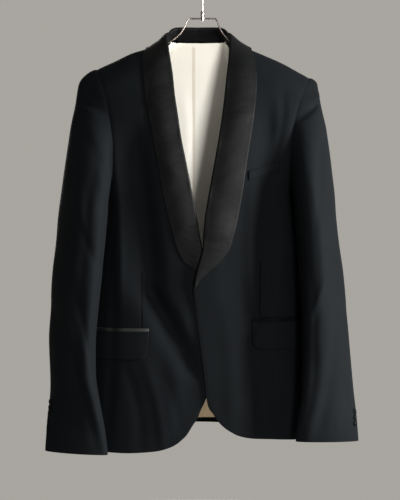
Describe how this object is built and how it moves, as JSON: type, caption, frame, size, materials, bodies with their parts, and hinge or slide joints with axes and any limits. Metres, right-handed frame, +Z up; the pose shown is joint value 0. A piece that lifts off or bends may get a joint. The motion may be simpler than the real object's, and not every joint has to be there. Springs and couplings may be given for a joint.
{
  "type": "shawl collar tuxedo jacket on a wire hanger",
  "caption": "Near-black dinner jacket with a satin shawl collar, flap pockets and an ivory back lining, hanging open at the neck on a chromed wire hanger.",
  "frame": {"origin": "underside of the hanger hook's top, where a rail bears", "axes": "+X to the right as one faces the jacket's front, +Y from the front to the back, +Z up"},
  "size_m": [0.5701, 0.2095, 0.9051],
  "materials": {
    "wool": "matte twill",
    "satin": "satin sheen",
    "lining": "satin sheen",
    "chrome": "polished"
  },
  "bodies": {
    "root": {"front_left": "wool", "back_left": "wool", "side_left": "wool", "upper_sleeve_left": "wool", "under_sleeve_left": "wool", "shawl_collar_left": "satin", "back_lining_left": "lining", "pocket_flap_left": "wool", "pocket_jet_left": "satin", "sleeve_button_left_1": "satin", "sleeve_button_left_2": "satin", "sleeve_button_left_3": "satin", "front_right": "wool", "back_right": "wool", "side_right": "wool", "upper_sleeve_right": "wool", "under_sleeve_right": "wool", "shawl_collar_right": "satin", "back_lining_right": "lining", "pocket_flap_right": "wool", "pocket_jet_right": "satin", "sleeve_button_right_1": "satin", "sleeve_button_right_2": "satin", "sleeve_button_right_3": "satin", "breast_welt": "wool", "hanger_frame": "chrome", "hanger_ferrule": "chrome", "hanger_hook": "chrome"}
  },
  "joints": []
}
